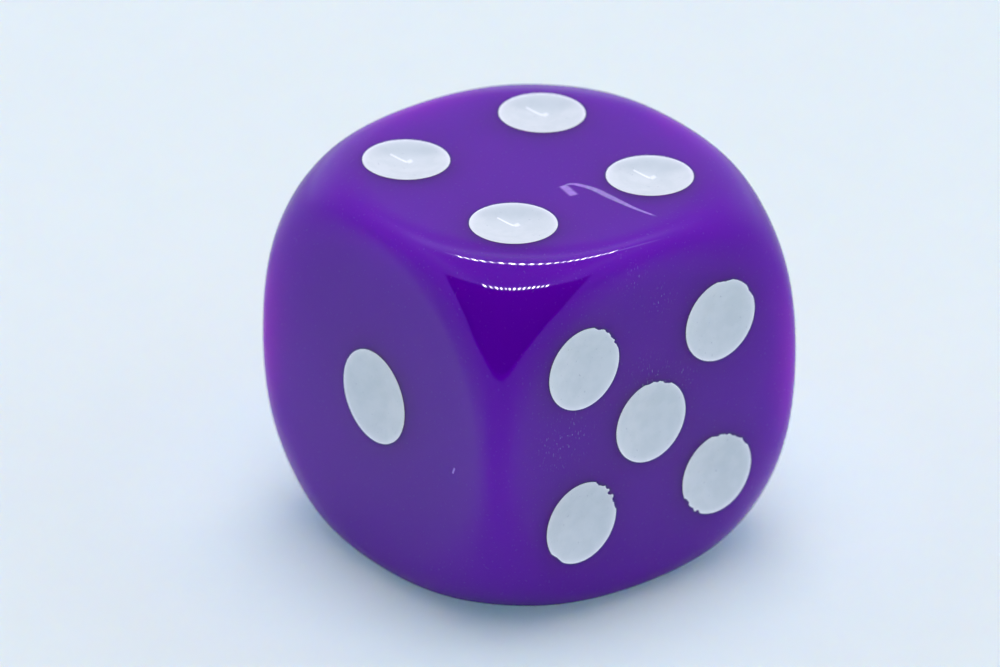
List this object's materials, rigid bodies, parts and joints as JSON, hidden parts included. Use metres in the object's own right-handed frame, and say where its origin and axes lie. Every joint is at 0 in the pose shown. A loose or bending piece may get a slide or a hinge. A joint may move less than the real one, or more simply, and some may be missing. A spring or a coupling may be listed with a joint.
{
  "type": "six-sided die",
  "caption": "Six-sided playing die of glossy purple plastic, with rounded corners and white enamel pips in dished recesses.",
  "frame": {"origin": "centre of the die, where the middles of opposite faces meet", "axes": "+Z out of the four's face (up), -Y out of the one's face (front), +X out of the five's face (right)"},
  "size_m": [0.016, 0.016, 0.016],
  "materials": {
    "body_plastic": "gloss",
    "pip_enamel": "satin"
  },
  "bodies": {
    "root": {"die_body": "body_plastic", "pip_one_centre": "pip_enamel", "pip_two_upper_left": "pip_enamel", "pip_two_lower_right": "pip_enamel", "pip_three_upper_left": "pip_enamel", "pip_three_lower_right": "pip_enamel", "pip_three_centre": "pip_enamel", "pip_four_upper_left": "pip_enamel", "pip_four_upper_right": "pip_enamel", "pip_four_lower_left": "pip_enamel", "pip_four_lower_right": "pip_enamel", "pip_five_upper_left": "pip_enamel", "pip_five_upper_right": "pip_enamel", "pip_five_lower_left": "pip_enamel", "pip_five_lower_right": "pip_enamel", "pip_five_centre": "pip_enamel", "pip_six_upper_left": "pip_enamel", "pip_six_upper_right": "pip_enamel", "pip_six_middle_left": "pip_enamel", "pip_six_middle_right": "pip_enamel", "pip_six_lower_left": "pip_enamel", "pip_six_lower_right": "pip_enamel"}
  },
  "joints": []
}
